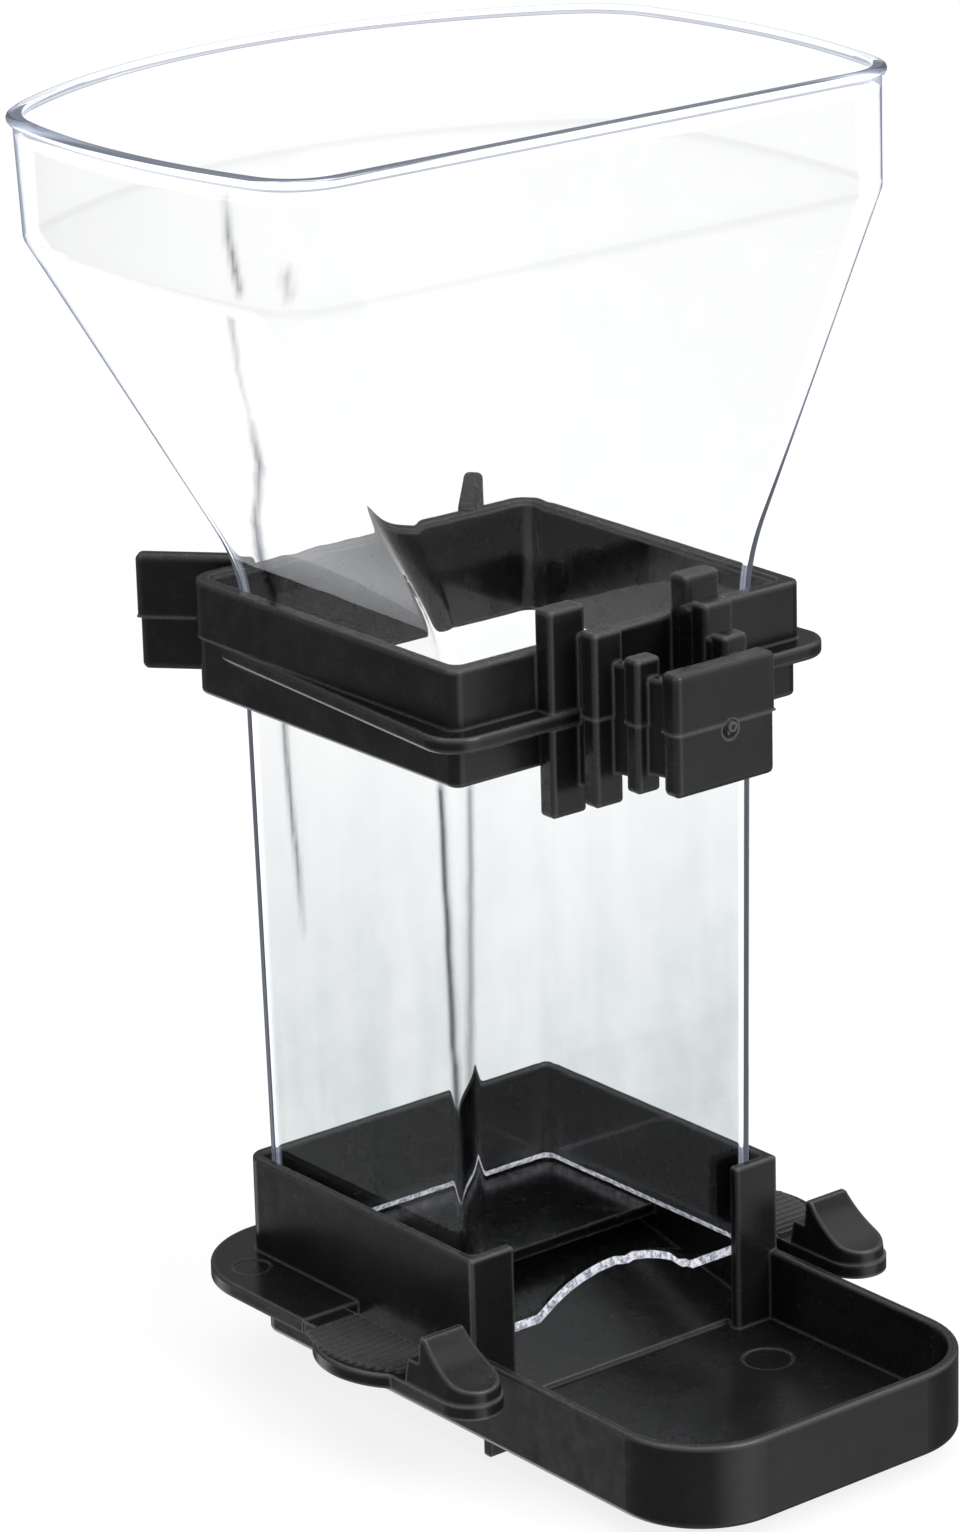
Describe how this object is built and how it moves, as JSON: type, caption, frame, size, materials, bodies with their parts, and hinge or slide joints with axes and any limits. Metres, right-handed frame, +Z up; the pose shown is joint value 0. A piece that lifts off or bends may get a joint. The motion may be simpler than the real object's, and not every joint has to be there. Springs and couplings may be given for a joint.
{
  "type": "gravity cage feeder",
  "caption": "Clear seed hopper standing in a dark tray base with two spring latches, held to cage bars by a sliding collar with a stepped comb.",
  "frame": {"origin": "on the tray's flat underside, midway between the feet of the two front posts", "axes": "+X forward out over the seed tray, +Y to the feeder's left, +Z up along the hopper"},
  "size_m": [0.1123, 0.1018, 0.1624],
  "materials": {
    "dark_plastic": "moulded, half gloss",
    "clear_plastic": "clear, polished"
  },
  "bodies": {
    "base": {"base": "dark_plastic"},
    "hopper": {"hopper": "clear_plastic"},
    "collar": {"collar": "dark_plastic"},
    "left_latch": {"left_latch": "dark_plastic"},
    "right_latch": {"right_latch": "dark_plastic"}
  },
  "joints": [
    {"name": "hopper_lift", "type": "slide", "parent": "base", "child": "hopper", "axis": [0, 0, 1], "range_m": [0, 0.03]},
    {"name": "collar_slide", "type": "slide", "parent": "hopper", "child": "collar", "axis": [0, 0, 1], "range_m": [-0.06, 0]},
    {"name": "left_latch_flex", "type": "hinge", "parent": "base", "child": "left_latch", "pos_m": [-0.023, 0.03, 0.0097], "axis": [0, 1, 0], "range_deg": [0, 6.5], "stiffness_Nm_per_rad": 0.9},
    {"name": "right_latch_flex", "type": "hinge", "parent": "base", "child": "right_latch", "pos_m": [-0.023, -0.03, 0.0097], "axis": [0, 1, 0], "range_deg": [0, 6.5], "stiffness_Nm_per_rad": 0.9}
  ]
}
